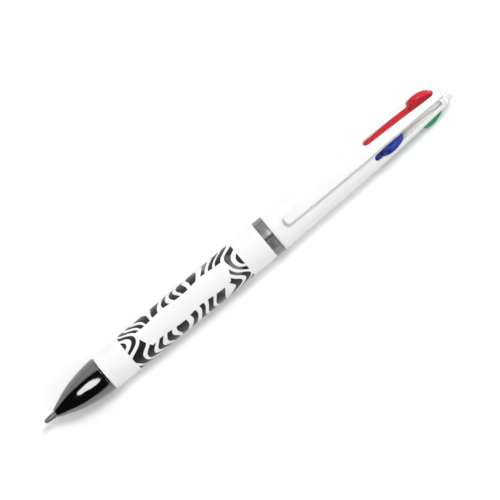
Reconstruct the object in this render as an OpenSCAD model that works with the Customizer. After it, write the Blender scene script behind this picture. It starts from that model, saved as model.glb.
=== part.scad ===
// Multicolor click pen. Four refills share one barrel and each has its own coloured slider.
// Millimetres. The pen lies along X, writing tip toward -X, clip up (+Z).
// A station is a distance from the writing tip, measured along the pen axis.
// The blue refill is pushed out. The red, green and black refills are drawn in.

/* [Barrel] */
// Station of the opening the refill comes out of
mouth_station = 4.0; // [3.8:0.1:4.2]
// Station where the nose cone meets the lower barrel
nose_end = 21.3; // [21:0.1:22]
// Station where the lower barrel meets the trim ring
lower_end = 77.9; // [77.5:0.1:78.2]
// Station where the trim ring meets the upper barrel
ring_end = 80.9; // [80.6:0.1:81]
// Station of the upper barrel's far end
upper_end = 139.5; // [139.5:0.1:139.7]
// Whole length with one refill pushed out
total_length = 143.5; // [143.3:0.1:144.5]
// Outer radius of the trim ring, the widest round part
ring_radius = 5.7; // [5.68:0.01:5.8]
// Wall thickness of the upper barrel
wall = 0.8; // [0.72:0.02:0.84]
// Radius of the refill opening in the nose cone
mouth_radius = 1.1; // [1.08:0.01:1.15]

/* [Slots and sliders] */
// Station of the slot end nearest the writing tip
slot_start = 115.0; // [114.6:0.1:115.2]
// Station of the slot end nearest the crown
slot_end = 138.85; // [138.82:0.01:138.9]
// Width of each slot
slot_width = 2.32; // [2.24:0.02:2.4]
// Width of each slider
slider_width = 2.1; // [2:0.02:2.14]
// Angle of the two front slots from the clip side
slot_angle = 37; // [36.5:0.5:38]
// Angle of the two back slots from the side opposite the clip
back_angle = 43; // [40:0.5:45]
// How far a slider travels toward the writing tip
travel = 13.3; // [13:0.1:13.4]
// How far a pressed slider sinks toward the pen axis
lean = 0.5; // [0.5:0.05:0.6]
// Radius of the thumb piece's outer edge while it is up
thumb_radius = 6.3; // [6:0.1:6.3]

/* [Refills and springs] */
// Outer radius of the plastic ink tube
tube_radius = 0.9; // [0.85:0.01:0.92]
// Inner radius of the plastic ink tube
tube_bore = 0.7; // [0.68:0.01:0.72]
// Radius of the writing ball
ball_radius = 0.5; // [0.45:0.01:0.5]
// Length of tube filled with ink
ink_length = 58; // [20:1:66]
// Radius of the spring wire
wire_radius = 0.12; // [0.1:0.01:0.13]
// Turns in each return spring
spring_turns = 14; // [10:1:15]

/* [Clip and crown] */
// Clip width along its wide half
clip_width = 3.05; // [2.8:0.05:3.2]
// Clip width at its root
clip_root_width = 1.9; // [1.7:0.05:1.95]
// Station of the clip's free end
clip_tip = 85.1; // [84.5:0.1:88]
// Radius of the cord hole through the crown
cord_hole_radius = 0.6; // [0.5:0.05:0.65]

/* [Hidden] */
$fn = 64;
fit = 0.05;
// slider foot and refill pivot, in the drawn-in position
foot_station = 104.0;
foot_radius = 2.9;
foot_length = 3.0;
foot_half = 1.05;
// half thickness of the flat guide on the latch core
guide_half = 0.35;
// drawn-in refill: distance of its tip from the pen axis
tip_offset = 2.1;
pivot_out = [foot_station - travel, foot_radius - lean];
refill_length = norm(pivot_out);
tilt_out = atan2(pivot_out[1], pivot_out[0]);
tilt_in = asin((foot_radius - tip_offset) / refill_length);
// metal writing tip: length outside the tube and inside it
tip_length = 9.5;
plug_length = 3.5;
seat_bottom = 82.0;
seat_top = 83.5;
spigot_start = 64.0;
spigot_radius = 4.55;
spigot_bore = 3.95;
colour_red = [0.86, 0.13, 0.2];
colour_blue = [0.12, 0.2, 0.63];
colour_green = [0.05, 0.58, 0.37];
colour_black = [0.04, 0.04, 0.05];
colour_white = [0.96, 0.96, 0.95];
colour_metal = [0.55, 0.56, 0.58];
angle_red = slot_angle;
angle_blue = -slot_angle;
angle_green = back_angle - 180;
angle_black = 180 - back_angle;

// upper barrel: outer radius at each station
upper_outline = [
    [ring_radius - 0.1, ring_end], [5.42, 88.5], [5.2, 97.8], [5.02, 106], [4.83, 113.5],
    [4.62, 119], [4.38, 124.2], [4.11, 129.2], [3.78, 134.4], [3.42, 138.9], [3.38, upper_end]
];
nose_outline = [
    [mouth_radius + 0.12, mouth_station], [mouth_radius + 0.22, mouth_station + 0.12],
    [1.62, 4.8], [2.02, 5.7], [2.42, 6.7], [3.0, 8.1], [3.6, 9.8], [4.12, 11.6],
    [4.55, 13.7], [4.92, 15.8], [5.18, 17.8], [5.33, 19.6], [5.38, nose_end - 0.45]
];
nose_bore = [
    [3.9, nose_end + 5.6], [3.9, nose_end - 2], [3.7, 17], [3.3, 13.4], [2.5, 9.6],
    [1.6, 6.8], [mouth_radius, 5.5], [mouth_radius, mouth_station]
];

function upper_radius(s) = lookup(s, [for (p = upper_outline) [p[1], p[0]]]);
function reversed(list) = [for (i = [len(list) - 1 : -1 : 0]) list[i]];

// puts station coordinates into the shared frame
module in_frame() translate([-total_length / 2, 0, ring_radius]) children();
// turns a round profile drawn as [radius, station] onto the pen axis
module turned(profile) rotate([0, 90, 0]) rotate_extrude() polygon(profile);
// cylinder along the pen axis between two stations
module rod(radius, from, to) translate([from, 0, 0]) rotate([0, 90, 0]) cylinder(r = radius, h = to - from);
// side outline drawn as [station, height], given a width
module side_plate(outline, width)
    rotate([90, 0, 0]) linear_extrude(width, center = true) polygon(outline);
// flat shape with round ends between two stations
module capsule(from, to, width) {
    translate([from + width / 2, -width / 2]) square([to - from - width, width]);
    for (s = [from + width / 2, to - width / 2]) translate([s, 0]) circle(d = width);
}
// one of the four slot directions; pressed is 1 for the slider that is down
module slot_side(angle, pressed) in_frame() rotate([-angle, 0, 0])
    translate([-travel * pressed, 0, -lean * pressed]) children();
// refill direction; the refill is drawn from its tip at zero
module refill_side(angle, pressed) slot_side(angle, pressed)
    translate([foot_station, 0, foot_radius])
    rotate([0, pressed ? -tilt_out : -tilt_in, 0]) translate([-refill_length, 0, 0]) children();

module nose_cone() color([0.23, 0.23, 0.25]) in_frame() turned(concat(
    nose_outline,
    [[5.12, nose_end - 0.4], [5.12, nose_end - fit], [4.4, nose_end - fit],
     [4.4, nose_end + 5.4], [4.2, nose_end + 5.6]],
    nose_bore));

module lower_barrel() color(colour_white) in_frame() turned([
    [4.45, nose_end], [5.3, nose_end], [5.4, nose_end + 0.15], [5.5, 40], [5.6, 62],
    [5.65, 70], [5.65, lower_end - 0.12], [5.57, lower_end], [4.6, lower_end],
    [4.6, 62.5], [4.45, 61.5]
]);

module trim_ring() color(colour_metal) in_frame() turned([
    [4.6, lower_end + 0.08], [ring_radius - 0.12, lower_end + 0.08],
    [ring_radius, lower_end + 0.25], [ring_radius, ring_end - 0.2],
    [ring_radius - 0.12, ring_end - 0.03], [4.6, ring_end - 0.03]
]);

module upper_barrel() color(colour_white) in_frame() difference() {
    union() {
        turned(concat(
            [[spigot_bore, spigot_start], [spigot_radius - 0.25, spigot_start],
             [spigot_radius - 0.25, 75.5], [spigot_radius, 75.8], [spigot_radius, ring_end]],
            upper_outline,
            [for (p = reversed(upper_outline)) if (p[1] > 83) [p[0] - wall, p[1]]],
            [[upper_radius(seat_bottom) - wall, seat_bottom], [spigot_bore, seat_bottom]]));
        // rings standing in for the screw thread
        for (s = [66 : 1.5 : 73.5]) turned([
            [spigot_radius - 0.35, s], [spigot_radius, s + 0.3],
            [spigot_radius, s + 0.6], [spigot_radius - 0.35, s + 0.9]
        ]);
    }
    for (a = [angle_red, angle_blue, angle_green, angle_black]) rotate([-a, 0, 0])
        translate([0, 0, 1.5]) linear_extrude(6) capsule(slot_start, slot_end, slot_width);
}

module clip() color(colour_white) in_frame() intersection() {
    side_plate([
        [clip_tip + 0.25, 6.35], [clip_tip + 1.1, 5.87], [clip_tip + 3.2, 5.77],
        [clip_tip + 5.6, 6.05], [clip_tip + 10, 6.28], [110, 6.2], [122, 5.7], [130, 4.9],
        [135, 4.2], [138.2, 3.72], [upper_end + 0.18, 3.6], [upper_end + 0.18, 2.6],
        [upper_end + 0.65, 2.6], [upper_end + 0.65, 3.85], [upper_end + 0.4, 4.1],
        [138.5, 4.42], [135, 5.1], [130, 5.88], [122, 6.72], [110, 7.3], [95, 7.48],
        [clip_tip + 3, 7.45], [clip_tip + 1.1, 7.25], [clip_tip + 0.3, 6.95], [clip_tip, 6.65]
    ], 6);
    linear_extrude(9) union() {
        translate([clip_tip + clip_width / 2, 0]) circle(d = clip_width);
        polygon([
            [clip_tip + clip_width / 2, -clip_width / 2], [110, -clip_width / 2],
            [134, -clip_root_width / 2 - 0.05], [141, -clip_root_width / 2],
            [141, clip_root_width / 2], [134, clip_root_width / 2 + 0.05],
            [110, clip_width / 2], [clip_tip + clip_width / 2, clip_width / 2]
        ]);
    }
}

module crown_cap() color(colour_white) in_frame() difference() {
    turned([
        [0, upper_end], [3.32, upper_end], [3.4, upper_end + 0.1], [3.4, upper_end + 0.65],
        [3.3, upper_end + 0.9], [2.92, upper_end + 1.15], [2.74, upper_end + 1.45],
        [2.84, upper_end + 1.7], [2.86, total_length - 1.3], [2.7, total_length - 0.75],
        [2.35, total_length - 0.3], [1.7, total_length - 0.04], [1.2, total_length],
        [0, total_length]
    ]);
    rod(1.25, upper_end - 1, upper_end + 1.2);
    translate([(upper_end + total_length) / 2 + 0.55, 0, 0]) rotate([90, 0, 0])
        cylinder(r = cord_hole_radius, h = 10, center = true);
    // pocket for the clip's root
    translate([upper_end - 1, -1.05, 2.4]) cube([1.8, 2.1, 3]);
}

module latch_core() color([0.88, 0.88, 0.86]) in_frame() {
    rim = [for (s = [111.5, 119, 124.2, 129.2, 134.4, 138.2]) [s, upper_radius(s) - wall - 2 * fit]];
    union() {
        turned([
            [0, 109.4], [1.15, 109.4], [1.55, 109.9], [1.55, 125.2], [2.42, 137.4],
            [2.5, 138.2], [2.5, upper_end - 0.05], [1.2, upper_end - 0.05], [1.2, upper_end + 1],
            [0, upper_end + 1]
        ]);
        // flat guide that parts the front sliders from the back ones
        translate([0, 0, -guide_half]) linear_extrude(2 * guide_half)
            polygon(concat(rim, [for (p = reversed(rim)) [p[0], -p[1]]]));
    }
}

module spring_seat() color([0.85, 0.85, 0.83]) in_frame() difference() {
    rod(4.6, seat_bottom + 0.02, seat_top);
    rod(1.9, seat_bottom - 1, seat_top + 1);
    for (a = [angle_red, angle_blue, angle_green, angle_black]) rotate([-a, 0, 0])
        translate([seat_bottom - 1, 0, 0]) rotate([0, 90, 0]) linear_extrude(4)
            translate([-tip_offset - 0.63, 0]) union() {
                circle(r = tube_radius + fit);
                translate([0, -tube_radius - fit]) square([1.4, 2 * (tube_radius + fit)]);
            }
}

// slider drawn in the up position, its radial direction along Z
module slider(tone) color(tone) {
    stem = foot_radius - 0.15;
    intersection() {
        side_plate([
            [foot_station + 0.5, stem], [slot_end - 0.1, stem],
            [slot_end - 0.1, 3.3], [138.3, 4.1], [137.4, 4.95], [136.1, 5.75],
            [134.7, thumb_radius - 0.08], [133.4, thumb_radius], [132.5, thumb_radius - 0.1],
            [131.7, thumb_radius - 0.5], [131.1, 5.1], [130.75, 4.3],
            [130.5, upper_radius(130.5) - 0.1], [126.5, upper_radius(126.5) - 0.15],
            [122.5, upper_radius(122.5) - 0.32], [115, 3.72], [foot_station + 0.5, 3.72]
        ], slider_width + 1);
        linear_extrude(8) capsule(foot_station, slot_end - 0.1, slider_width);
    }
    translate([0, 0, foot_radius]) rod(foot_half, foot_station, foot_station + foot_length);
    translate([0, 0, foot_radius]) rod(tube_bore - 0.15, foot_station - 2.6, foot_station + 1);
}

module refill_tube() color([0.9, 0.92, 0.93]) difference() {
    rod(tube_radius, tip_length, refill_length - 0.05);
    rod(tube_bore, tip_length - 1, refill_length + 1);
}

module ink(tone) color(tone)
    rod(tube_bore - 0.02, tip_length + plug_length + 0.05, tip_length + plug_length + ink_length);

module refill_tip() color([0.66, 0.64, 0.58]) difference() {
    turned([
        [0.22, 0.3], [ball_radius + 0.06, 0.3], [ball_radius + 0.1, 0.4], [0.72, 1.1],
        [0.82, 2.0], [0.88, 3.0], [tube_radius, 4.2], [tube_radius, tip_length - 0.02],
        [tube_bore - 0.02, tip_length - 0.02], [tube_bore - 0.02, tip_length + plug_length],
        [0.22, tip_length + plug_length]
    ]);
    translate([ball_radius, 0, 0]) rotate([0, 90, 0]) sphere(ball_radius + 0.015);
}

module tip_ball() color([0.5, 0.51, 0.53]) translate([ball_radius, 0, 0]) rotate([0, 90, 0]) sphere(ball_radius);

// return spring around the tube, from the seat up to the slider foot
module spring(length) color(colour_metal) {
    around = 16;
    sides = 6;
    steps = spring_turns * around;
    coil = tube_radius + 0.06 + wire_radius;
    run = length - 2 * wire_radius - 0.12;
    points = [for (i = [0 : steps]) let (turn = 360 * i / around)
        for (k = [0 : sides - 1]) let (
            a = 360 * k / sides,
            r = coil + wire_radius * cos(a),
            x = refill_length - length + wire_radius + 0.06 + run * i / steps + wire_radius * sin(a)
        ) [x, r * cos(turn), r * sin(turn)]];
    tube = [for (i = [0 : steps - 1]) for (k = [0 : sides - 1])
        [i * sides + k, i * sides + (k + 1) % sides,
         (i + 1) * sides + (k + 1) % sides, (i + 1) * sides + k]];
    caps = [[for (k = [0 : sides - 1]) sides - 1 - k], [for (k = [0 : sides - 1]) steps * sides + k]];
    polyhedron(points, concat(tube, caps));
}

module slider_red() slot_side(angle_red, 0) slider(colour_red);
module slider_blue() slot_side(angle_blue, 1) slider(colour_blue);
module slider_green() slot_side(angle_green, 0) slider(colour_green);
module slider_black() slot_side(angle_black, 0) slider(colour_black);

module spring_red() refill_side(angle_red, 0) spring(foot_station - seat_top);
module spring_blue() refill_side(angle_blue, 1) spring(foot_station - travel - seat_top);
module spring_green() refill_side(angle_green, 0) spring(foot_station - seat_top);
module spring_black() refill_side(angle_black, 0) spring(foot_station - seat_top);

module refill_tube_red() refill_side(angle_red, 0) refill_tube();
module refill_tube_blue() refill_side(angle_blue, 1) refill_tube();
module refill_tube_green() refill_side(angle_green, 0) refill_tube();
module refill_tube_black() refill_side(angle_black, 0) refill_tube();

module ink_red() refill_side(angle_red, 0) ink(colour_red);
module ink_blue() refill_side(angle_blue, 1) ink(colour_blue);
module ink_green() refill_side(angle_green, 0) ink(colour_green);
module ink_black() refill_side(angle_black, 0) ink(colour_black);

module refill_tip_red() refill_side(angle_red, 0) refill_tip();
module refill_tip_blue() refill_side(angle_blue, 1) refill_tip();
module refill_tip_green() refill_side(angle_green, 0) refill_tip();
module refill_tip_black() refill_side(angle_black, 0) refill_tip();

module tip_ball_red() refill_side(angle_red, 0) tip_ball();
module tip_ball_blue() refill_side(angle_blue, 1) tip_ball();
module tip_ball_green() refill_side(angle_green, 0) tip_ball();
module tip_ball_black() refill_side(angle_black, 0) tip_ball();

nose_cone();
lower_barrel();
trim_ring();
upper_barrel();
clip();
crown_cap();
latch_core();
spring_seat();
slider_red();
slider_blue();
slider_green();
slider_black();
spring_red();
spring_blue();
spring_green();
spring_black();
refill_tube_red();
refill_tube_blue();
refill_tube_green();
refill_tube_black();
ink_red();
ink_blue();
ink_green();
ink_black();
refill_tip_red();
refill_tip_blue();
refill_tip_green();
refill_tip_black();
tip_ball_red();
tip_ball_blue();
tip_ball_green();
tip_ball_black();
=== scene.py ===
import math

import bpy
import bmesh
import numpy as np
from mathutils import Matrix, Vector
from mathutils.geometry import delaunay_2d_cdt


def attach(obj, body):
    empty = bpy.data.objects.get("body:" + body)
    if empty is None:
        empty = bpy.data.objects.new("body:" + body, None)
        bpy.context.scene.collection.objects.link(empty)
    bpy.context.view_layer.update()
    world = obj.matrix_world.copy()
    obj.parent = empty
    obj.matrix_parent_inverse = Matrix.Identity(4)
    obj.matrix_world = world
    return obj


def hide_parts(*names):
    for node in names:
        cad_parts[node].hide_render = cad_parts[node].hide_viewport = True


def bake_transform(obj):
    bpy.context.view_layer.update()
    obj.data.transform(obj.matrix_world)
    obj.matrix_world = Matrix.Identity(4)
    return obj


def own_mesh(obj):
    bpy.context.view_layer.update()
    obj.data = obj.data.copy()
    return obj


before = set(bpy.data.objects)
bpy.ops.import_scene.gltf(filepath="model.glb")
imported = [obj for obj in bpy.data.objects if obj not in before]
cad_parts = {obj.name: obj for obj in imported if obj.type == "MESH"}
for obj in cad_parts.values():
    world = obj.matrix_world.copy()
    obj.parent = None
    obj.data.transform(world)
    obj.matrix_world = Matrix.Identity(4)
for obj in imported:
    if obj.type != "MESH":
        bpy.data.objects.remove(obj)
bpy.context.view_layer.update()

# Stations run along the pen from the writing tip. Lengths are in millimetres unless they say otherwise.
MM = 0.001
HALF = 71.75  # half the pen's length
RING_R = 5.7  # the widest place, on which the pen rests
AXIS = RING_R  # height of the pen axis over the floor
TRAVEL, LEAN = 13.3, 0.5  # how far a slider goes along the pen and toward its axis
FOOT, FOOT_R = 104.0, 2.9  # foot of a slider that is drawn in
TIP_R = 2.1  # tip of a refill that is drawn in
PIVOT_OUT = (FOOT - TRAVEL, FOOT_R - LEAN)
REFILL = math.hypot(*PIVOT_OUT)
TILT_OUT = math.atan2(PIVOT_OUT[1], PIVOT_OUT[0])
TILT_IN = math.asin((FOOT_R - TIP_R) / REFILL)
ANGLE = {"red": 37, "blue": -37, "green": -137, "black": 137}  # of the slots, in degrees from the clip side
PUSHED_OUT = "blue"
INK_FROM, INK_TO = 13.0, 71.0  # from a refill's own tip
SLOT_FROM, SLOT_TO, SLOT_W = 115.0, 138.85, 2.32
WALL = 0.8
SEAT = 83.5  # face of the spring seat that carries the springs
UPPER_END = 139.5
UPPER = [(80.9, 5.6), (88.5, 5.42), (97.8, 5.2), (106, 5.02), (113.5, 4.83), (119, 4.62),
         (124.2, 4.38), (129.2, 4.11), (134.4, 3.78), (138.9, 3.42), (UPPER_END, 3.38)]


# ---------------------------------------------------------------- placing and meshes

def at(s, across, out, phi=0.0):
    """Point from a station, a sideways offset and a height over the axis, turned by phi degrees."""
    a = math.radians(phi)
    return Vector(((s - HALF) * MM,
                   (out * math.sin(a) + across * math.cos(a)) * MM,
                   (AXIS + out * math.cos(a) - across * math.sin(a)) * MM))


def between(points, s):
    """Second value of a list of (station, value) points, straight between them."""
    return float(np.interp(s, [p[0] for p in points], [p[1] for p in points]))


def upper_radius(s):
    return between(UPPER, s)


def curve_through(points, step=0.25):
    """Smooth monotone curve through (station, radius) points, sampled finely."""
    x = np.array([p[0] for p in points], float)
    y = np.array([p[1] for p in points], float)
    d = np.diff(y) / np.diff(x)
    m = np.concatenate([[d[0]], (d[:-1] + d[1:]) / 2, [d[-1]]])
    m[1:-1][d[:-1] * d[1:] <= 0] = 0
    out = []
    for i in range(len(x) - 1):
        h = x[i + 1] - x[i]
        n = max(1, int(math.ceil(h / step)))
        for k in range(n):
            t = k / n
            out.append((x[i] + t * h,
                        (2 * t**3 - 3 * t**2 + 1) * y[i] + (t**3 - 2 * t**2 + t) * h * m[i]
                        + (-2 * t**3 + 3 * t**2) * y[i + 1] + (t**3 - t**2) * h * m[i + 1]))
    out.append((float(x[-1]), float(y[-1])))
    return out


def filleted(points, radius, steps=5, closed=True):
    """Rounds the corners of an outline."""
    nearly_straight, longest_cut = -0.985, 0.45
    n = len(points)
    out = []
    for i, p in enumerate(points):
        if not closed and i in (0, n - 1):
            out.append(p)
            continue
        a, b, c = (np.array(q, float) for q in (points[i - 1], p, points[(i + 1) % n]))
        u, v = a - b, c - b
        lu, lv = np.linalg.norm(u), np.linalg.norm(v)
        cos = float(np.clip(u @ v / (lu * lv), -1, 1))
        if cos < nearly_straight:
            out.append(tuple(b))
            continue
        half = math.acos(cos) / 2
        cut = min(radius / math.tan(half), lu * longest_cut, lv * longest_cut)
        r = cut * math.tan(half)
        centre = b + (u / lu + v / lv) / np.linalg.norm(u / lu + v / lv) * (r / math.sin(half))
        p0, p1 = b + u / lu * cut - centre, b + v / lv * cut - centre
        a0, a1 = math.atan2(p0[1], p0[0]), math.atan2(p1[1], p1[0])
        turn = (a1 - a0 + math.pi) % (2 * math.pi) - math.pi
        for k in range(steps + 1):
            w = a0 + turn * k / steps
            out.append((centre[0] + r * math.cos(w), centre[1] + r * math.sin(w)))
    return out


def tube_faces(rings, sides, far_cap=True):
    """Faces of a closed tube whose vertices come ring by ring."""
    faces = []
    for a in range(0, (rings - 1) * sides, sides):
        b = a + sides
        faces += [[a + k, a + (k + 1) % sides, b + (k + 1) % sides, b + k] for k in range(sides)]
    faces.append(list(range(sides))[::-1])
    if far_cap:
        faces.append([(rings - 1) * sides + k for k in range(sides)])
    return faces


def merge(verts, faces, more_verts, more_faces):
    """Adds one mesh to another, in place."""
    base = len(verts)
    verts.extend(more_verts)
    faces.extend([[i + base for i in q] for q in more_faces])


def smooth(mesh, sharp):
    """Shades a mesh smooth, apart from edges of more than sharp degrees."""
    for p in mesh.polygons:
        p.use_smooth = True
    if sharp:
        mesh.set_sharp_from_angle(angle=math.radians(sharp))


def weld(mesh, gap):
    """Joins points that are closer than gap, in metres, and turns the faces outward."""
    bm = bmesh.new()
    bm.from_mesh(mesh)
    bmesh.ops.remove_doubles(bm, verts=bm.verts, dist=gap)
    bmesh.ops.recalc_face_normals(bm, faces=bm.faces)
    bm.to_mesh(mesh)
    bm.free()


def new_object(name, verts, faces, sharp):
    mesh = bpy.data.meshes.new(name)
    mesh.from_pydata([tuple(v) for v in verts], [], faces)
    obj = bpy.data.objects.new(name, mesh)
    bpy.context.scene.collection.objects.link(obj)
    weld(mesh, 1e-8)
    smooth(mesh, sharp)
    return obj


SHARP = 32


def add_piece(name, verts, faces, body, nodes, slot, material, sharp=SHARP):
    obj = new_object(name, verts, faces, sharp)
    obj.data.materials.append(material)
    if body:
        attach(obj, body)
    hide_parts(*nodes)
    return obj


def lathe_mesh(profile, place, segments=128):
    """Surface of revolution of a closed (station, radius) outline; points on the axis become poles."""
    verts, rings = [], []
    for s, r in profile:
        if r < 1e-6:
            rings.append([len(verts)] * segments)
            verts.append(place(s, 0, 0))
        else:
            rings.append(list(range(len(verts), len(verts) + segments)))
            for k in range(segments):
                a = 2 * math.pi * k / segments
                verts.append(place(s, r * math.sin(a), r * math.cos(a)))
    faces = []
    for i, a in enumerate(rings):
        b = rings[(i + 1) % len(rings)]
        if len(set(a)) == 1 and len(set(b)) == 1:
            continue
        for k in range(segments):
            q = [a[k], a[(k + 1) % segments], b[(k + 1) % segments], b[k]]
            q = [v for j, v in enumerate(q) if v != q[j - 1]]
            if len(q) > 2:
                faces.append(q)
    return verts, faces


def lathe(name, profile, body, nodes, slot, material, place=at, segments=128, sharp=SHARP):
    return add_piece(name, *lathe_mesh(profile, place, segments), body, nodes, slot, material, sharp)


def refill_place(colour):
    """Places a refill drawn from its tip at zero, in the drawn-in or the pushed-out position."""
    out = colour == PUSHED_OUT
    px, pr = PIVOT_OUT if out else (FOOT, FOOT_R)
    tilt = TILT_OUT if out else TILT_IN

    def place(s, across, height):
        d = REFILL - s
        return at(px - d * math.cos(tilt) - height * math.sin(tilt), across,
                  pr - d * math.sin(tilt) + height * math.cos(tilt), ANGLE[colour])
    return place


# ---------------------------------------------------------------- materials

class Nodes:
    """Small helper for building shader node graphs."""

    def __init__(self, name):
        self.material = bpy.data.materials.new(name)
        self.material.use_nodes = True
        self.tree = self.material.node_tree
        self.shader = self.tree.nodes["Principled BSDF"]
        self.coords = self.tree.nodes.new("ShaderNodeTexCoord").outputs["Object"]

    def put(self, socket, value):
        if isinstance(value, bpy.types.NodeSocket):
            self.tree.links.new(value, socket)
        else:
            socket.default_value = value

    def set(self, **values):
        for key, value in values.items():
            self.put(self.shader.inputs[key.replace("_", " ")], value)

    def math(self, operation, *values):
        node = self.tree.nodes.new("ShaderNodeMath")
        node.operation = operation
        for i, value in enumerate(values):
            self.put(node.inputs[i], value)
        return node.outputs[0]

    def add(self, first, *others):
        for other in others:
            first = self.math("ADD", first, other)
        return first

    def sub(self, a, b):
        return self.math("SUBTRACT", a, b)

    def mul(self, a, b):
        return self.math("MULTIPLY", a, b)

    def abs(self, a):
        return self.math("ABSOLUTE", a)

    def wave(self, k_s, s, k_a, a, phase, size):
        """size * sin(k_s s + k_a a + phase)"""
        return self.mul(self.math("SINE", self.add(self.mul(s, k_s), self.mul(a, k_a), phase)), size)

    def ramp(self, value, low, high, out_low=0.0, out_high=1.0):
        node = self.tree.nodes.new("ShaderNodeMapRange")
        node.interpolation_type = "SMOOTHSTEP"
        for i, v in enumerate((value, low, high, out_low, out_high)):
            self.put(node.inputs[i], v)
        return node.outputs[0]

    def mix(self, factor, a, b):
        node = self.tree.nodes.new("ShaderNodeMix")
        node.data_type = "RGBA"
        factor_input, a_input, b_input, colour_output = 0, 6, 7, 2
        self.put(node.inputs[factor_input], factor)
        self.put(node.inputs[a_input], a)
        self.put(node.inputs[b_input], b)
        return node.outputs[colour_output]

    def scaled(self, x, y, z):
        node = self.tree.nodes.new("ShaderNodeMapping")
        self.put(node.inputs["Vector"], self.coords)
        node.inputs["Scale"].default_value = (x, y, z)
        return node.outputs[0]

    def noise(self, scale, detail=2.0, rough=0.5, vector=None):
        node = self.tree.nodes.new("ShaderNodeTexNoise")
        self.put(node.inputs["Vector"], self.coords if vector is None else vector)
        node.inputs["Scale"].default_value = scale
        node.inputs["Detail"].default_value = detail
        node.inputs["Roughness"].default_value = rough
        return node.outputs[0]

    def lines(self, value, scale, detail):
        """Noise that changes only with one value."""
        node = self.tree.nodes.new("ShaderNodeTexNoise")
        node.noise_dimensions = "1D"
        self.put(node.inputs["W"], value)
        node.inputs["Scale"].default_value = scale
        node.inputs["Detail"].default_value = detail
        return node.outputs[0]

    def bump(self, height, strength, distance, base=None):
        node = self.tree.nodes.new("ShaderNodeBump")
        node.inputs["Strength"].default_value = strength
        node.inputs["Distance"].default_value = distance
        self.put(node.inputs["Height"], height)
        if base is not None:
            self.put(node.inputs["Normal"], base)
        return node.outputs[0]

    def pen_coords(self):
        """Station in mm and angle about the pen axis, in radians from the clip side."""
        split = self.tree.nodes.new("ShaderNodeSeparateXYZ")
        self.put(split.inputs[0], self.coords)
        x, y, z = split.outputs
        station = self.math("MULTIPLY_ADD", x, 1 / MM, HALF)
        angle = self.math("ARCTAN2", y, self.sub(z, AXIS * MM))
        return station, angle


def rgb(r, g, b):
    return (r, g, b, 1.0)


def times(colour, factor):
    return rgb(*(c * factor for c in colour))


# Bump distances, in metres, and the two noise scales that the plastics share.
FINE, WIDE, HAIR = 0.00002, 0.0001, 0.00001
DRIFT, DIMPLES = 140.0, 160.0


def plastic(name, colour, rough=0.24, tone=0.03, fine=2600.0, gloss=0.5):
    """Moulded gloss plastic: slight tone drift, uneven gloss and a very faint mould texture."""
    n = Nodes(name)
    n.set(Base_Color=n.mix(n.ramp(n.noise(DRIFT, 3.0), 0.35, 0.65), times(colour, 1 - tone), rgb(*colour)),
          Roughness=n.ramp(n.noise(420.0, 4.0, 0.6), 0.3, 0.7, rough * 0.85, rough * 1.2),
          IOR=1.5, Specular_IOR_Level=gloss,
          Normal=n.bump(n.noise(fine), 0.05, FINE, n.bump(n.noise(DIMPLES, 1.0), 0.06, WIDE)))
    return n.material


def printed_plastic(name, colour):
    """White gloss plastic with a generic print of wavy bars around two blank panels."""
    radius = 5.5
    print_from, print_to = 29.8, 69.8
    middle, panel_middle, panel_half_length = 50.5, 50.2, 14.0
    panel_half_width, back_half_width = 3.05, 3.9
    period, bar_share, corner, edge = 3.25, 0.28, 0.35, 0.04
    dark, faded = rgb(0.006, 0.006, 0.006), rgb(0.26, 0.26, 0.27)
    n = Nodes(name)
    s, a = n.pen_coords()
    # the bars bend more toward both ends of the print
    ends = n.ramp(n.abs(n.add(s, -middle)), 7.0, 17.0, 0.6, 2.5)
    warp = n.add(n.mul(n.wave(0.10, s, 3, a, 0.57, 1.0), ends), n.wave(-0.33, s, 5, a, 0.4, 0.55),
                 n.wave(0.45, s, 1, a, 2.0, 0.5))
    phase = n.mul(n.add(s, warp), 2 * math.pi / period)
    width = n.wave(-0.5, s, 2, a, 1.0, 0.30)
    bars = n.mul(n.add(n.math("SINE", phase), width, bar_share), period / (2 * math.pi))
    # distances from the blank panels and from the ends of the print, positive where there is ink
    panel = n.math("MAXIMUM",
                   n.sub(n.abs(n.add(s, -panel_middle)),
                         n.add(n.wave(0.0, s, 2, a, 0.9, 1.6), panel_half_length)),
                   n.sub(n.mul(n.abs(a), radius), n.add(n.wave(0.45, s, 1, a, 0.0, 0.3), panel_half_width)))
    back = n.sub(n.mul(n.sub(math.pi, n.abs(a)), radius), back_half_width)
    zone = n.math("MINIMUM", n.sub(s, print_from), n.sub(print_to, s))
    soft = n.math("SMOOTH_MIN", n.math("MINIMUM", panel, back), bars, corner)
    ink = n.ramp(n.math("MINIMUM", soft, zone), -edge, edge)
    # toward the ring some of the ink is grey
    fade = n.mul(n.ramp(n.noise(150.0, 1.0), 0.5, 0.68), n.ramp(s, 54.0, 63.0))
    ink_colour = n.mix(n.mul(fade, 0.75), dark, faded)
    base = n.mix(n.ramp(n.noise(DRIFT, 3.0), 0.35, 0.65), times(colour, 0.975), rgb(*colour))
    body_rough = n.ramp(n.noise(420.0, 4.0, 0.6), 0.3, 0.7, 0.15, 0.22)
    n.set(Base_Color=n.mix(ink, base, ink_colour),
          Roughness=n.add(body_rough, n.mul(ink, 0.12)),
          IOR=1.5, Specular_IOR_Level=0.4,
          Normal=n.bump(n.add(n.mul(ink, 0.6), n.mul(n.noise(2600.0), 0.25)), 0.12, FINE,
                        n.bump(n.noise(DIMPLES, 1.0), 0.05, WIDE)))
    return n.material


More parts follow.
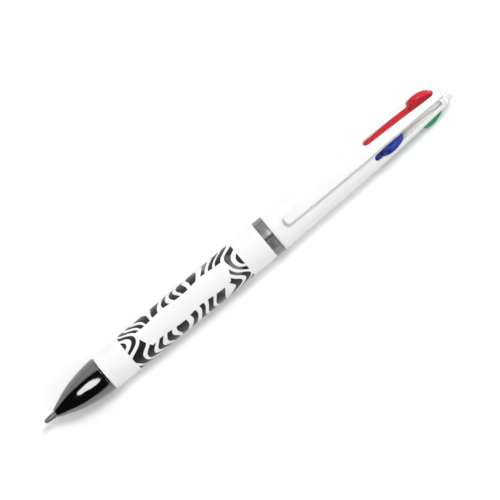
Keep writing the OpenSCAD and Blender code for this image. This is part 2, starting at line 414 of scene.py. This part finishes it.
def metal(name, colour, rough, turned=0.0, smudge=0.03, reflection_lines=0.0):
    """Metal or plating: turning lines around the pen axis, faint smudges and fine scratches.
    The last argument adds painted reflection: dark lines along the pen that stand in for reflected dark
    bands, as strong as it says."""
    n = Nodes(name)
    s, a = n.pen_coords()
    smudges = n.noise(230.0, 4.0, 0.65)
    scratch = n.noise(1.0, 3.0, 0.6, n.scaled(300.0, 2600.0, 2600.0))
    base = n.mix(n.ramp(smudges, 0.35, 0.7), times(colour, 0.93), rgb(*colour))
    if reflection_lines:
        # painted reflection: dark lines along the pen are mixed into the base colour in place of the dark
        # bands that the ring reflects
        reflection_line_noise = n.lines(n.mul(a, RING_R), 0.75, 5.0)
        base = n.mix(n.mul(n.ramp(reflection_line_noise, 0.36, 0.47, 1.0, 0.0), reflection_lines), base, times(colour, 0.35))
    n.set(Base_Color=base, Metallic=1.0,
          Roughness=n.add(n.ramp(smudges, 0.3, 0.75, rough, rough + smudge),
                          n.mul(n.ramp(scratch, 0.55, 0.75), smudge)),
          Normal=n.bump(n.lines(n.mul(s, 6.0), 1.0, 4.0), turned, FINE, n.bump(scratch, 0.03, HAIR)))
    return n.material


def translucent(name, ink_colour, ink_from, ink_to):
    """Clear plastic tube that takes on the colour of the ink where it is filled."""
    n = Nodes(name)
    s, _ = n.pen_coords()
    filled = n.mul(n.ramp(s, ink_from - 0.2, ink_from + 0.2),
                   n.ramp(s, ink_to - 0.4, ink_to + 0.4, 1.0, 0.0))
    clear = n.mix(n.ramp(n.noise(220.0, 3.0), 0.35, 0.65), rgb(0.86, 0.88, 0.89), rgb(0.92, 0.94, 0.95))
    stained = rgb(*(0.75 * c + 0.01 for c in ink_colour))
    n.set(Base_Color=n.mix(n.mul(filled, 0.88), clear, stained),
          Roughness=n.ramp(n.noise(500.0, 3.0), 0.3, 0.7, 0.15, 0.24),
          Transmission_Weight=n.ramp(filled, 0.0, 1.0, 0.7, 0.2), IOR=1.45,
          Normal=n.bump(n.noise(1500.0), 0.05, FINE))
    return n.material


WHITE = (0.80, 0.80, 0.795)
TONES = {"red": (0.53, 0.002, 0.012), "blue": (0.006, 0.025, 0.27),
         "green": (0.004, 0.29, 0.115), "black": (0.006, 0.006, 0.007)}
white = plastic("white_gloss", WHITE, 0.18, 0.02)
printed = printed_plastic("white_printed", WHITE)
gunmetal = metal("gunmetal_plate", (0.175, 0.175, 0.18), 0.07, 0.02, 0.02)
# the ring's dark lines along the pen are painted reflection
ring_steel = metal("ring_steel", (0.255, 0.255, 0.26), 0.34, 0.25, 0.05, reflection_lines=1.0)
spring_steel = metal("spring_steel", (0.62, 0.61, 0.60), 0.22, 0.0, 0.06)
tip_metal = metal("tip_metal", (0.21, 0.205, 0.20), 0.30, 0.3, 0.06)
ball_metal = metal("ball_carbide", (0.48, 0.48, 0.50), 0.12, 0.0, 0.03)
inner = plastic("inner_natural", (0.86, 0.86, 0.84), 0.42, 0.05)
tinted, inks, tubes = {}, {}, {}
for colour, tone in TONES.items():
    drawn_in = 0.0 if colour == PUSHED_OUT else TRAVEL
    tinted[colour] = plastic("slider_" + colour, tone, 0.28, 0.10, 1900.0, 0.35)
    inks[colour] = plastic("ink_" + colour, tuple(c * 0.7 for c in tone), 0.12, 0.15)
    tubes[colour] = translucent("tube_" + colour, tone, INK_FROM + drawn_in, INK_TO + drawn_in)


# ---------------------------------------------------------------- nose, barrels, ring

nose_line = curve_through([
    (4.12, 1.33), (4.8, 1.62), (5.7, 2.02), (6.7, 2.42), (8.1, 3.0), (9.8, 3.6), (11.6, 4.12),
    (13.7, 4.55), (15.8, 4.92), (17.8, 5.18), (19.6, 5.33), (20.75, 5.385)], 0.35)
lathe("nose_cone_visual",
      [(4.03, 1.12), (4.0, 1.17), (4.0, 1.23), (4.04, 1.28)] + nose_line
      + [(20.83, 5.37), (20.88, 5.32), (20.9, 5.25), (20.9, 5.12), (21.25, 5.12), (21.25, 4.42),
         (21.28, 4.4), (26.6, 4.4), (26.9, 4.22), (26.9, 3.9), (19.3, 3.9), (17, 3.7),
         (13.4, 3.3), (9.6, 2.5), (6.8, 1.6), (5.5, 1.1), (4.08, 1.1)],
      "lower_section", ["nose_cone"], "gunmetal_plate", gunmetal, segments=160)

lower_line = curve_through([(21.48, 5.4), (30, 5.46), (40, 5.5), (50, 5.555), (62, 5.61), (70, 5.64),
                            (77.72, 5.65)], 1.0)
lathe("lower_barrel_visual",
      [(21.3, 4.47), (21.3, 5.28), (21.32, 5.33), (21.37, 5.37), (21.42, 5.39)] + lower_line
      + [(77.8, 5.64), (77.86, 5.61), (77.9, 5.56), (77.9, 4.62), (62.5, 4.6), (61.5, 4.45),
         (21.34, 4.45)],
      "lower_section", ["lower_barrel"], "white_plastic", printed, segments=160)

lathe("trim_ring_visual",
      filleted([(77.98, 4.6), (77.98, 5.66), (78.06, 5.7), (78.26, 5.7), (78.30, 5.655), (78.36, 5.655),
                (78.40, 5.695), (80.44, 5.695), (80.48, 5.655), (80.54, 5.655), (80.58, 5.7),
                (80.80, 5.7), (80.88, 5.66), (80.88, 4.6)], 0.03, 3),
      "pen_body", ["trim_ring"], "ring_steel", ring_steel, segments=160)


# Upper barrel: outer and inner skins are triangulated flat with the slots cut out, then wrapped round.

SKIN_FROM = 112.0  # below it the barrel is round
AROUND = 120
SPREAD = 4.3  # radius at which a skin is laid flat


def capsule(grow, steps=18):
    """Slot outline as (station, sideways offset), grown outward by grow."""
    r = SLOT_W / 2
    lo, hi, e = SLOT_FROM + r, SLOT_TO - r, r + grow
    pts = []
    for c, start in ((hi, -90), (lo, 90)):
        for k in range(steps + 1):
            w = math.radians(start + 180 * k / steps)
            pts.append((c + e * math.cos(w), e * math.sin(w)))
    fine = []
    for i, p in enumerate(pts):
        q = pts[(i + 1) % len(pts)]
        n = max(1, int(abs(q[0] - p[0]) / 0.5))
        fine += [(p[0] + (q[0] - p[0]) * k / n, p[1] + (q[1] - p[1]) * k / n) for k in range(n)]
    return fine


def encloses(outline, p):
    """True where a closed outline goes round a point."""
    odd = False
    for (x0, y0), (x1, y1) in zip(outline, outline[-1:] + outline[:-1]):
        if (y0 > p.y) != (y1 > p.y) and p.x < (x1 - x0) * (p.y - y0) / (y1 - y0) + x0:
            odd = not odd
    return odd


def skin(offset, grow):
    """Wrapped skin with four slot holes. Returns vertices, faces and each hole's vertex loop."""
    margin = 0.13  # how far the loose points stay off a slot's edge
    reach = 2.4  # more than half a slot's width, laid flat
    full = 2 * math.pi * SPREAD
    stations = np.linspace(SKIN_FROM, UPPER_END, 76)
    lanes = [full * k / AROUND for k in range(1, AROUND)]
    pts, edges, holes, outlines = [], [], [], []

    def loop(items):
        first = len(pts)
        pts.extend(items)
        edges.extend((first + i, first + (i + 1) % len(items)) for i in range(len(items)))
        return list(range(first, first + len(items)))

    def near_slot(s, v):
        half = math.asin(min(0.99, (SLOT_W / 2 + grow + margin) / (upper_radius(s) - offset))) * SPREAD
        return SLOT_FROM - 0.15 < s < SLOT_TO + 0.15 and any(abs(v - centre) < half for centre, _ in outlines)

    def in_slot(p):
        return SLOT_FROM - 0.3 < p.x < SLOT_TO + 0.3 and any(
            abs(p.y - centre) <= reach and encloses(outline, p) for centre, outline in outlines)

    loop([(s, 0.0) for s in stations] + [(UPPER_END, v) for v in lanes]
         + [(s, full) for s in stations[::-1]] + [(SKIN_FROM, v) for v in lanes[::-1]])
    for phi in ANGLE.values():
        turn = math.radians(phi % 360)
        outline = [(s, (turn + math.asin(t / (upper_radius(s) - offset))) * SPREAD) for s, t in capsule(grow)]
        holes.append(loop(outline))
        outlines.append((turn * SPREAD, outline))
    pts += [(s, v) for s in stations[1:-1] for v in lanes if not near_slot(s, v)]
    co, _, faces, _, _, _ = delaunay_2d_cdt([Vector(p) for p in pts], edges, [], 0, 1e-7)
    keep = [list(f) for f in faces if not in_slot(sum((co[i] for i in f), Vector((0, 0))) / len(f))]
    verts = [at(p.x, 0, upper_radius(p.x) - offset, math.degrees(p.y / SPREAD)) for p in co]
    return verts, keep, [[verts[i] for i in h] for h in holes]


def upper_barrel():
    verts, faces = [], []

    def wall(loops):
        for a, b in zip(loops, loops[1:]):
            n = len(a)
            merge(verts, faces, list(a) + list(b),
                  [[i, (i + 1) % n, n + (i + 1) % n, n + i] for i in range(n)])

    edge = 0.14  # rounding of the slot edges
    outer_verts, outer_faces, holes = skin(0.0, edge)
    merge(verts, faces, outer_verts, outer_faces)
    inner_verts, inner_faces, inner_holes = skin(WALL, 0.0)
    merge(verts, faces, inner_verts, inner_faces)
    for hole, inner_hole, phi in zip(holes, inner_holes, ANGLE.values()):
        loops = [hole]
        for w in (math.radians(18 * k) for k in range(1, 6)):
            grow, depth = edge * (1 - math.sin(w)), edge * (1 - math.cos(w))
            loops.append([at(s, t, math.sqrt(upper_radius(s) ** 2 - t * t) - depth, phi)
                          for s, t in capsule(grow)])
        wall(loops + [inner_hole])
    # spigot with plain rings in place of a thread, and the round part up to the slots
    lower = ([(SKIN_FROM, upper_radius(SKIN_FROM))]
             + [(s, upper_radius(s)) for s in np.arange(111.0, 81.3, -1.0)]
             + [(81.1, 5.59), (81.0, 5.56), (80.94, 5.51), (80.9, 5.45), (80.9, 4.55),
                (75.8, 4.55), (75.5, 4.3)])
    for s in (73.5, 72.0, 70.5, 69.0, 67.5, 66.0):
        lower += [(s + 0.9, 4.3), (s + 0.6, 4.53), (s + 0.52, 4.55), (s + 0.38, 4.55), (s + 0.3, 4.53),
                  (s, 4.3)]
    lower += [(64.15, 4.3), (64.0, 4.2), (64.0, 3.95), (82.0, 3.95)]
    lower += [(s, upper_radius(s) - WALL) for s in np.arange(82.0, SKIN_FROM + 1, 1.0)]
    end = [(UPPER_END, upper_radius(UPPER_END)), (UPPER_END, upper_radius(UPPER_END) - WALL)]
    turns = [2 * math.pi * k / AROUND for k in range(AROUND)]
    for line in (lower, end):
        wall([[at(s, r * math.sin(a), r * math.cos(a)) for a in turns] for s, r in line])
    return verts, faces


add_piece("upper_barrel_visual", *upper_barrel(), "pen_body", ["upper_barrel"], "white_plastic", white, 40)


# ---------------------------------------------------------------- crown, core, seat

def combine(obj, others, operation="DIFFERENCE"):
    """Cuts helper shapes out of an object or joins them to it, one by one, and removes them."""
    for other in others:
        m = obj.modifiers.new("shape", "BOOLEAN")
        m.operation = operation
        m.solver = "EXACT"
        m.object = other
        bpy.context.view_layer.update()
        before = obj.data
        obj.data = bpy.data.meshes.new_from_object(obj.evaluated_get(bpy.context.evaluated_depsgraph_get()))
        obj.modifiers.clear()
        bpy.data.objects.remove(other)
        bpy.data.meshes.remove(before)
        # edges of almost no length, left where two corners meet, would tear the mesh in the next cut
        weld(obj.data, 5e-8)
    smooth(obj.data, SHARP)


def helper_tube(rings):
    """A closed shape through rings of points, which only shapes another piece."""
    return new_object("helper", [p for ring in rings for p in ring], tube_faces(len(rings), len(rings[0])), 0)


def guide_plate():
    """Flat guide through the latch core, with its long edges eased."""
    side = [(s, upper_radius(s) - WALL - 0.1) for s in (111.5, 119, 124.2, 129.2, 134.4, 138.2)]
    outline = side + [(s, -y) for s, y in side[::-1]]
    return helper_tube([[at(s, y * shrink, z) for s, y in outline]
                        for shrink, z in ((0.985, -0.35), (1.0, -0.29), (1.0, 0.29), (0.985, 0.35))])


def cylinder_cutter(radius, a, b, segments=48):
    d = (b - a).normalized()
    u = d.orthogonal().normalized()
    w = d.cross(u)
    turns = [2 * math.pi * k / segments for k in range(segments)]
    return helper_tube([[p + (u * math.cos(t) + w * math.sin(t)) * (radius * MM) for t in turns]
                        for p in (a, b)])


def box_cutter(s0, s1, half, low, high):
    corners = ((-half, low), (-half, high), (half, high), (half, low))
    return helper_tube([[at(s, y, z) for y, z in corners] for s in (s0, s1)])


crown = lathe("crown_cap_visual",
              filleted([(139.5, 0), (139.5, 3.3), (139.58, 3.4), (140.12, 3.4), (140.42, 3.28),
                        (140.62, 2.94), (140.98, 2.74), (141.2, 2.84), (142.15, 2.87), (142.75, 2.7),
                        (143.2, 2.35), (143.45, 1.75), (143.5, 1.25), (143.5, 0)], 0.22, 5, closed=False),
              "pen_body", ["crown_cap"], "white_plastic", white, segments=144)
cord_hole = cylinder_cutter(0.6, at(142.05, -5, 0), at(142.05, 5, 0))
core_socket = cylinder_cutter(1.25, at(138, 0, 0), at(140.7, 0, 0))
clip_pocket = box_cutter(138.5, 140.3, 1.05, 2.4, 5)
combine(crown, [cord_hole, core_socket, clip_pocket])

core = lathe("latch_core_visual",
             filleted([(109.4, 0), (109.4, 1.15), (109.9, 1.55), (125.2, 1.55), (137.4, 2.42), (138.2, 2.5),
                       (139.45, 2.5), (139.45, 1.2), (140.5, 1.2), (140.5, 0)], 0.12, 4, closed=False),
             "pen_body", ["latch_core"], "inner_plastic", inner, segments=72)
combine(core, [guide_plate()], "UNION")

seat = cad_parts["spring_seat"]
seat.data.materials.clear()
seat.data.materials.append(inner)


# ---------------------------------------------------------------- clip

CLIP_TIP, CLIP_END = 85.1, 140.15
CLIP_HALF = 1.525  # half width, and radius of the rounded tip
CLIP_TOP = curve_through([
    (CLIP_TIP, 6.72), (85.35, 7.08), (85.9, 7.3), (87.2, 7.42), (95, 7.48), (110, 7.3), (122, 6.72),
    (130, 5.88), (135, 5.1), (138.5, 4.42), (139.9, 4.1), (CLIP_END, 3.9)], 0.3)
CLIP_LOW = curve_through([
    (CLIP_TIP, 6.6), (85.35, 6.3), (85.9, 6.05), (87.2, 5.84), (88.6, 5.8), (90.7, 6.05), (95.1, 6.28),
    (110, 6.2), (122, 5.7), (130, 4.9), (135, 4.2), (138.2, 3.72), (139.68, 3.6), (CLIP_END, 3.58)], 0.3)


def rounded(c, power=2 / 4.2):
    """Turns a circle's sine or cosine into that of a rounded box."""
    return math.copysign(abs(c) ** power, c)


def clip():
    sides = 40
    stations = sorted(set(round(s, 3) for s in
                          [CLIP_TIP + 0.02 * k * k for k in range(1, 13)]
                          + list(np.arange(88.2, 140.0, 0.45)) + [140.0, 140.1, CLIP_END]))
    verts = []
    for s in stations:
        to_round = CLIP_TIP + CLIP_HALF - s
        if to_round > 0:
            half = math.sqrt(max(1e-6, CLIP_HALF**2 - to_round**2))
        else:
            half = between([(110, CLIP_HALF), (134, 1.0), (141, 0.95)], s)
        high, low = between(CLIP_TOP, s), between(CLIP_LOW, s)
        for w in (2 * math.pi * k / sides for k in range(sides)):
            verts.append(at(s, half * rounded(math.cos(w)),
                            (high + low) / 2 + (high - low) / 2 * rounded(math.sin(w))))
    faces = tube_faces(len(stations), sides)
    # tongue held in the crown's pocket
    tongue = ((-0.93, 3.7), (0.93, 3.7), (0.93, 2.68), (0.85, 2.6), (-0.85, 2.6), (-0.93, 2.68))
    merge(verts, faces, [at(s, y, z) for s in (139.7, 140.13) for y, z in tongue],
          tube_faces(2, len(tongue)))
    return verts, faces


add_piece("clip_visual", *clip(), "clip", ["clip"], "white_plastic", white, 50)


# ---------------------------------------------------------------- sliders

SLIDER_HALF = 1.05
STEM_FROM, STEM_LOW = 104.5, FOOT_R - 0.15
THUMB_FROM = 130.4
SLIDER_TOP = curve_through([
    (STEM_FROM, 3.72), (115, 3.72), (122.5, upper_radius(122.5) - 0.32), (126.5, upper_radius(126.5) - 0.15),
    (129.9, upper_radius(129.9) - 0.1), (130.5, 4.02), (130.85, 4.42), (131.2, 5.15), (131.7, 5.72),
    (132.4, 6.1), (133.3, 6.27), (134.1, 6.26), (135.1, 6.08), (136.2, 5.66), (137.3, 4.98), (138.1, 4.25),
    (138.5, 3.7), (138.75, 3.2)], 0.05)


def slider(colour):
    """Thumb piece and stem: a height over a capsule-shaped plan, with the upper edges rounded over."""
    shift, sink = (TRAVEL, LEAN) if colour == PUSHED_OUT else (0.0, 0.0)

    def place(s, across, height):
        return at(s - shift, across, height - sink, ANGLE[colour])

    def place_foot(s, across, height):
        return place(s, across, height + FOOT_R)

    centre = SLOT_TO - 0.1 - SLIDER_HALF  # of the rounded end
    quarter = [math.sin(math.radians(6 * k)) for k in range(16)]
    lanes = [-q for q in quarter[:0:-1]] + quarter
    stations = (list(np.arange(STEM_FROM, 130.0, 0.7)) + list(np.arange(130.0, centre, 0.12))
                + [centre + SLIDER_HALF * q for q in quarter])
    top_s, top_z = zip(*SLIDER_TOP)
    verts = []
    for s in stations:
        beyond = max(0.0, s - centre)
        half = math.sqrt(max(0.0, SLIDER_HALF**2 - beyond**2))
        # the edge radius grows from the stem to the thumb piece
        w = min(1.0, max(0.0, (s - THUMB_FROM) / 1.4))
        r = 0.1 + 0.5 * w * w * (3 - 2 * w)
        for u in lanes:
            inside = SLIDER_HALF - math.hypot(beyond, u * half)
            drop = r - math.sqrt(max(0.0, r * r - max(0.0, r - max(0.0, inside))**2))
            verts.append(place(s, u * half, max(STEM_LOW + 0.02, float(np.interp(s, top_s, top_z)) - drop)))
        verts += [place(s, half, STEM_LOW), place(s, -half, STEM_LOW)]
    faces = tube_faces(len(stations), len(lanes) + 2, far_cap=False)
    foot = filleted([(104.0, 0), (104.0, 1.05), (107.0, 1.05), (107.0, 0)], 0.12, 4, closed=False)
    plug = filleted([(101.4, 0), (101.4, 0.55), (104.2, 0.55), (104.2, 0)], 0.1, 4, closed=False)
    merge(verts, faces, *lathe_mesh(foot, place_foot, 48))
    merge(verts, faces, *lathe_mesh(plug, place_foot, 32))
    add_piece("slider_" + colour + "_visual", verts, faces, colour + "_slider", ["slider_" + colour],
              colour + "_plastic", tinted[colour], 38)


for colour in ANGLE:
    slider(colour)


# ---------------------------------------------------------------- refills and springs

def spring(colour):
    place = refill_place(colour)
    pushed = colour == PUSHED_OUT
    long = FOOT - (TRAVEL if pushed else 0) - SEAT
    wire, coil, turns, around, sides, end_gap = 0.12, 1.08, 14, 26, 10, 0.06
    run = long - 2 * (wire + end_gap)
    # the end turns of a relaxed spring lie closer together than the middle ones
    closer = 0.0 if pushed else run * 0.035
    steps = turns * around
    verts = []
    for i in range(steps + 1):
        u = i / steps
        x = REFILL - long + wire + end_gap + run * u - closer * math.sin(2 * math.pi * u)
        a = 2 * math.pi * i / around
        for w in (2 * math.pi * k / sides for k in range(sides)):
            r = coil + wire * math.cos(w)
            verts.append(place(x + wire * math.sin(w), r * math.sin(a), r * math.cos(a)))
    name, body = "spring_" + colour, None if pushed else colour + "_refill"
    low, high = place(REFILL - long, 0, 0), place(REFILL, 0, 0)
    obj = add_piece(name + "_visual", verts, tube_faces(steps + 1, sides), body, [name],
                    "spring_steel", spring_steel, 0)
    if pushed:
        tuple(low)
        tuple(high)
        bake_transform(obj)
    else:
        tuple(high)
        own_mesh(obj)


def refill(colour):
    place, body = refill_place(colour), colour + "_refill"
    lathe("refill_tube_" + colour + "_visual",
          filleted([(9.5, 0.7), (9.5, 0.9), (REFILL - 0.05, 0.9), (REFILL - 0.05, 0.7)], 0.05, 3),
          body, ["refill_tube_" + colour], "tube_plastic", tubes[colour], place, 40)
    lathe("ink_" + colour + "_visual",
          [(13.05, 0), (13.05, 0.68), (70.3, 0.68), (70.75, 0.55), (70.95, 0.3), (INK_TO, 0)],
          body, ["ink_" + colour], "ink_" + colour, inks[colour], place, 32)
    line = curve_through([(0.4, 0.585), (1.1, 0.71), (2.0, 0.815), (3.0, 0.875), (4.2, 0.9)], 0.15)
    lathe("refill_tip_" + colour + "_visual",
          [(0.36, 0.475), (0.3, 0.49), (0.3, 0.54), (0.34, 0.57)] + line
          + [(8.1, 0.9), (8.16, 0.86), (8.3, 0.86), (8.36, 0.9), (9.42, 0.9), (9.47, 0.87), (9.48, 0.82),
             (9.48, 0.68), (12.9, 0.68), (13.0, 0.62), (13.0, 0.22), (0.97, 0.22), (0.88, 0.35),
             (0.72, 0.465), (0.5, 0.515)],
          body, ["refill_tip_" + colour], "tip_metal", tip_metal, place, 64)
    ball_r, half_turn = 0.5, [math.pi * k / 24 for k in range(1, 24)]
    ball = [(ball_r - ball_r * math.cos(w), ball_r * math.sin(w)) for w in half_turn]
    lathe("tip_ball_" + colour + "_visual", [(0.0, 0.0)] + ball + [(2 * ball_r, 0.0)],
          colour + "_ball", ["tip_ball_" + colour], "ball_carbide", ball_metal, place, 40, 0)


for colour in ANGLE:
    refill(colour)
    spring(colour)


# ---------------------------------------------------------------- floor, light, camera (in metres)

scene = bpy.context.scene


def stage_floor():
    reach = 1.5
    mesh = bpy.data.meshes.new("floor")
    mesh.from_pydata([(-reach, -reach, 0), (reach, -reach, 0), (reach, reach, 0), (-reach, reach, 0)],
                     [], [[0, 1, 2, 3]])
    floor = bpy.data.objects.new("floor", mesh)
    scene.collection.objects.link(floor)
    n = Nodes("floor_pale")
    n.set(Base_Color=rgb(0.93, 0.93, 0.93), Roughness=0.9, Specular_IOR_Level=0.1)
    mesh.materials.append(n.material)


def studio():
    """White surroundings that are dark overhead and toward the tip end of the pen."""
    world = bpy.data.worlds.new("studio")
    scene.world = world
    world.use_nodes = True
    nodes, links = world.node_tree.nodes, world.node_tree.links
    slant = nodes.new("ShaderNodeVectorMath")
    slant.operation = "DOT_PRODUCT"
    slant.inputs[1].default_value = (-1.0, -0.35, 1.0)
    links.new(nodes.new("ShaderNodeTexCoord").outputs["Generated"], slant.inputs[0])
    ramp = nodes.new("ShaderNodeValToRGB")
    links.new(slant.outputs["Value"], ramp.inputs[0])
    for element, place, tone in zip(ramp.color_ramp.elements, (0.58, 0.80), (1.0, 0.02)):
        element.position = place
        element.color = rgb(tone, tone, tone)
    links.new(ramp.outputs[0], nodes["Background"].inputs["Color"])
    nodes["Background"].inputs["Strength"].default_value = 1.0


def area(name, where, target, size, power, size_y=None):
    """Square light, or an ellipse where size_y is given."""
    light = bpy.data.lights.new(name, "AREA")
    light.energy = power
    light.size = size
    if size_y:
        light.shape = "ELLIPSE"
        light.size_y = size_y
    obj = bpy.data.objects.new(name, light)
    scene.collection.objects.link(obj)
    obj.location = where
    obj.rotation_euler = (Vector(target) - Vector(where)).to_track_quat("-Z", "Y").to_euler()


def camera():
    tilt, roll, distance = math.radians(3.35), math.radians(39.67), 0.7
    view_width, sensor = 0.1365, 36
    aim_station, aim_aside = 73.2, 0.51
    away = Vector((0, -math.sin(tilt), math.cos(tilt)))
    side = Vector((0, math.cos(tilt), math.sin(tilt)))
    along = Vector((1, 0, 0))
    right = along * math.cos(roll) - side * math.sin(roll)
    up = along * math.sin(roll) + side * math.cos(roll)
    place = at(aim_station, 0, 0) + side * aim_aside * MM + away * distance
    data = bpy.data.cameras.new("camera")
    data.sensor_width = sensor
    data.lens = sensor * distance / view_width
    data.clip_start, data.clip_end = 0.01, 20
    obj = bpy.data.objects.new("camera", data)
    scene.collection.objects.link(obj)
    m = obj.matrix_world.copy()
    for i in range(3):
        m[i][0], m[i][1], m[i][2], m[i][3] = right[i], up[i], away[i], place[i]
    obj.matrix_world = m
    scene.camera = obj


stage_floor()
studio()
area("key", (0.36, 0.22, 0.90), (0, 0, 0), 0.28, 5.15)
area("nose_strip", (-0.415, -0.06, 0.95), (-0.057, 0, 0), 0.80, 2.8, 0.30)
area("fill_low", (0.40, -0.70, 0.70), (0, 0, 0), 0.9, 1.5, 0.6)
camera()
scene.view_settings.view_transform = "Standard"
